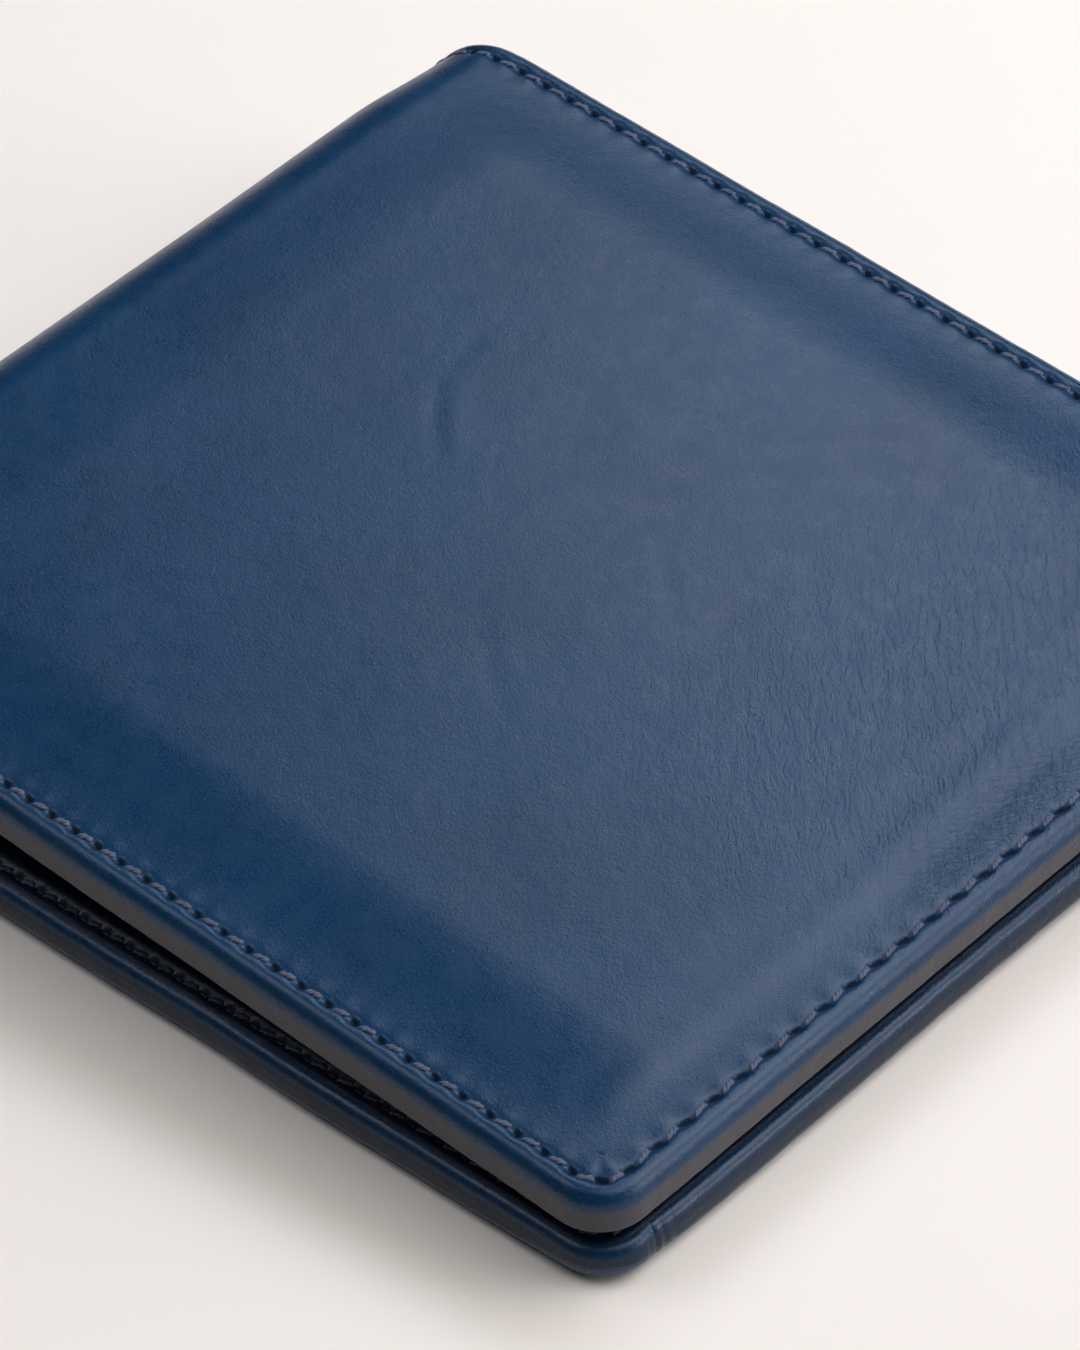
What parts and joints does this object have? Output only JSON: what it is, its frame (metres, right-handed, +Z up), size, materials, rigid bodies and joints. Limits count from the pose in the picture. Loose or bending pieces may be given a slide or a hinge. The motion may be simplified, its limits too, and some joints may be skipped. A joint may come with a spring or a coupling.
{
  "type": "bifold wallet",
  "caption": "Closed leather bifold wallet with rolled stitched edges, a bill compartment and card pockets on both leaves.",
  "frame": {"origin": "under the middle of the closed wallet, on the surface that it lies on", "axes": "+Z up through the closed wallet, +X from the spine to the open edge, +Y along the fold to the bill compartment's mouth"},
  "size_m": [0.1101, 0.1, 0.018],
  "materials": {
    "cover_leather": "smooth waxed navy leather, soft satin shine, fine grain",
    "inner_leather": "thin matte navy leather",
    "lining_fabric": "dark fine twill lining",
    "board": "bonded fibre board, hidden",
    "thread": "waxed twisted polyester thread"
  },
  "bodies": {
    "lower_leaf": {"cover_lower": "cover_leather", "stiffener_board_lower": "board", "lining_lower": "lining_fabric", "inner_wall_lower": "inner_leather", "card_pocket_top_lower": "inner_leather", "card_pocket_middle_lower": "inner_leather", "front_pocket_lower": "inner_leather", "stitching_outer_lower": "thread", "stitching_inner_lower": "thread", "stitching_top_hem_lower": "thread", "pocket_seam_lower": "thread"},
    "spine": {"cover_spine": "cover_leather", "lining_spine": "lining_fabric", "stitching_spine_bottom": "thread", "stitching_spine_top": "thread"},
    "upper_leaf": {"cover_upper": "cover_leather", "stiffener_board_upper": "board", "lining_upper": "lining_fabric", "inner_wall_upper": "inner_leather", "card_pocket_top_upper": "inner_leather", "card_pocket_middle_upper": "inner_leather", "front_pocket_upper": "inner_leather", "stitching_outer_upper": "thread", "stitching_inner_upper": "thread", "stitching_top_hem_upper": "thread", "pocket_seam_upper": "thread"}
  },
  "joints": [
    {"name": "fold", "type": "hinge", "parent": "lower_leaf", "child": "spine", "pos_m": [-0.05321, 0, 0.00192], "axis": [0, -1, 0], "range_deg": [0, 90]},
    {"name": "leaf_fold", "type": "hinge", "parent": "spine", "child": "upper_leaf", "pos_m": [-0.05306, 0, 0.01633], "axis": [0, -1, 0], "range_deg": [0, 94.1]}
  ],
  "couplings": [
    {"joint": "leaf_fold", "follows": "fold", "ratio": 1.0456}
  ]
}
